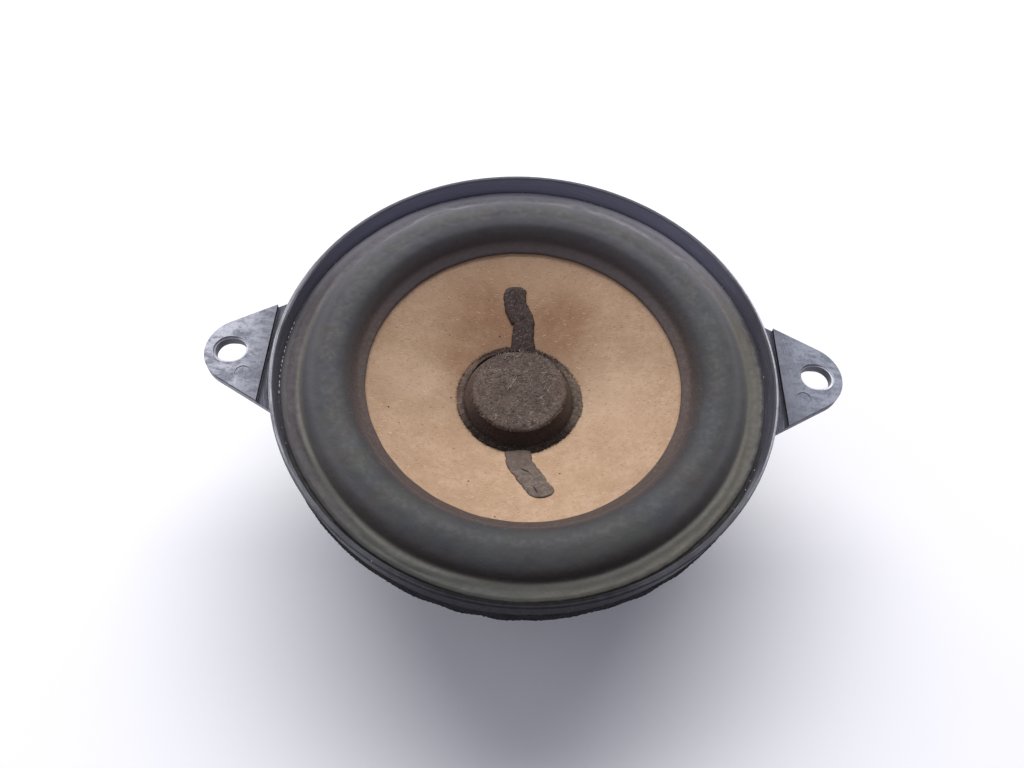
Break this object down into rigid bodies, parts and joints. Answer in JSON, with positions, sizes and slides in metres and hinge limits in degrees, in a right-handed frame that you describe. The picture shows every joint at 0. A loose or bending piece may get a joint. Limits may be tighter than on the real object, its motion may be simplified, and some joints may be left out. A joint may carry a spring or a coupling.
{
  "type": "car speaker",
  "caption": "Round car speaker with a black moulded frame, pointed slotted ears, a bare paper cone, a half-roll rubber surround, a flat felt dust cap and a ferrite ring magnet.",
  "frame": {"origin": "centre of the back plate's rear face, which is the bottom of the part", "axes": "+X through the slots of the ears, +Z out of the cone towards the listener, +Y towards the positive terminal"},
  "size_m": [0.1304, 0.102, 0.044],
  "materials": {
    "frame_plastic": "moulded, satin with fine scuffs",
    "gasket_foam": "closed-cell foam, rough edge",
    "rivet_steel": "plain",
    "plate_steel": "zinc plated",
    "ferrite": "ground ferrite, dark grey",
    "surround_rubber": "semi-matte",
    "spider_cloth": "impregnated woven cloth",
    "tag_board": "phenolic paper",
    "terminal_brass": "tinned brass",
    "solder": "soft solder, smooth",
    "tinsel": "braided copper tinsel",
    "cone_paper": "bare pressed paper, fibrous",
    "cap_felt": "felted, dark brown-grey",
    "glue": "dried rubber-based glue",
    "former_paper": "kraft paper",
    "copper": "enamelled copper wire",
    "eyelet_brass": "plain brass"
  },
  "bodies": {
    "frame": {"basket": "frame_plastic", "rear_gasket": "gasket_foam", "frame_rivets": "rivet_steel", "top_plate": "plate_steel", "ferrite_magnet": "ferrite", "back_plate": "plate_steel", "pole_piece": "plate_steel", "surround": "surround_rubber", "spider": "spider_cloth", "tag_board_positive": "tag_board", "tag_board_negative": "tag_board", "terminal_positive": "terminal_brass", "terminal_negative": "terminal_brass", "terminal_rivets": "rivet_steel", "solder_joints": "solder", "tinsel_lead_positive": "tinsel", "tinsel_lead_negative": "tinsel"},
    "cone_assembly": {"cone": "cone_paper", "dust_cap": "cap_felt", "cap_glue_ring": "glue", "lead_glue_far": "glue", "lead_glue_near": "glue", "coil_former": "former_paper", "coil_winding": "copper", "coil_lead_positive": "copper", "coil_lead_negative": "copper", "cone_eyelets": "eyelet_brass"}
  },
  "joints": [
    {"name": "cone_travel", "type": "slide", "parent": "frame", "child": "cone_assembly", "axis": [0, 0, 1], "range_m": [-0.0025, 0.0025], "stiffness_N_per_m": 1500, "deforming": ["surround", "spider", "tinsel_lead_positive", "tinsel_lead_negative"]}
  ]
}
